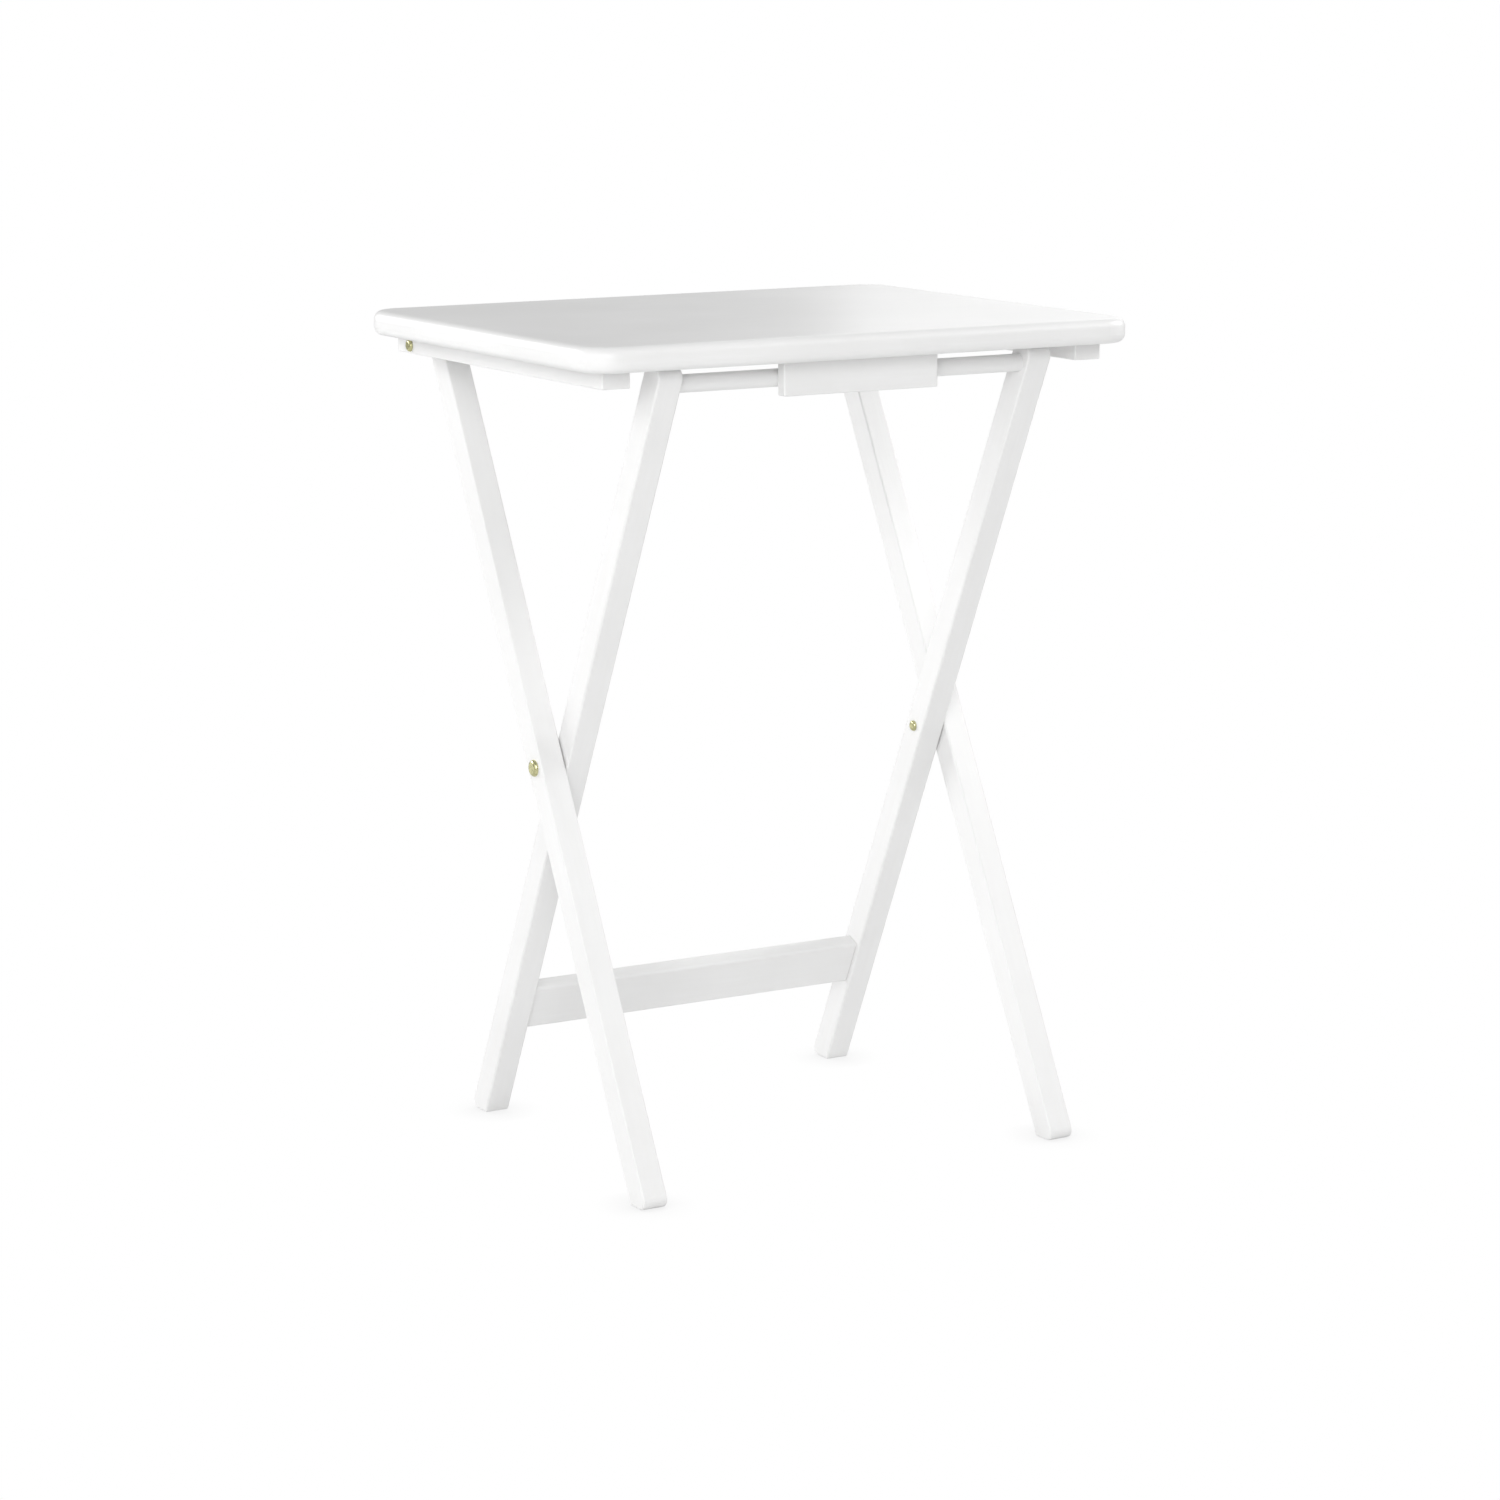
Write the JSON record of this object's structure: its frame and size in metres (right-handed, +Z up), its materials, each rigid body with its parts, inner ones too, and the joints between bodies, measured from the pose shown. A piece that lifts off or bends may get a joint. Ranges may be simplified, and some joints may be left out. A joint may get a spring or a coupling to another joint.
{
  "type": "folding tray table",
  "caption": "White-painted wooden folding tray table with a rounded rectangular top on crossed legs that scissor shut about brass bolts.",
  "frame": {"origin": "on the floor, under the middle of the tabletop", "axes": "+X right along the long edge seen from the front, +Y to the rear where the top is hinged, +Z up"},
  "size_m": [0.482, 0.386, 0.656],
  "materials": {
    "painted_top": "satin white paint over solid wood",
    "painted_frame": "satin white paint over solid wood",
    "brass": "polished, slightly aged brass",
    "screw_steel": "zinc-plated wood screws",
    "bare_wood": "unpainted hardwood pegs"
  },
  "bodies": {
    "outer_frame": {"outer_leg_left": "painted_frame", "outer_leg_right": "painted_frame", "hinge_bolt_left": "brass", "hinge_bolt_right": "brass", "hinge_washer_left": "brass", "hinge_washer_right": "brass", "hinge_insert_left": "brass", "hinge_insert_right": "brass", "pivot_bolt_left": "brass", "pivot_bolt_right": "brass", "pivot_washer_left": "brass", "pivot_washer_right": "brass", "sleeve_nut_left": "brass", "sleeve_nut_right": "brass"},
    "top_frame": {"tabletop": "painted_top", "stop_rail": "painted_frame", "rail_screws": "screw_steel", "batten_left": "painted_frame", "batten_right": "painted_frame", "batten_screws_left": "screw_steel", "batten_screws_right": "screw_steel"},
    "inner_frame": {"top_dowel": "painted_frame", "stretcher": "painted_frame", "inner_leg_left": "painted_frame", "inner_leg_right": "painted_frame", "stretcher_pegs_left": "bare_wood", "stretcher_pegs_right": "bare_wood"}
  },
  "joints": [
    {"name": "top_lift", "type": "hinge", "parent": "outer_frame", "child": "top_frame", "pos_m": [0, 0.1494, 0.6295], "axis": [-1, 0, 0], "range_deg": [0, 26.5]},
    {"name": "leg_fold", "type": "hinge", "parent": "outer_frame", "child": "inner_frame", "pos_m": [0, -0.0089, 0.3127], "axis": [-1, 0, 0], "range_deg": [0, 53]}
  ],
  "couplings": [
    {"joint": "top_lift", "follows": "leg_fold", "ratio": 0.5}
  ]
}
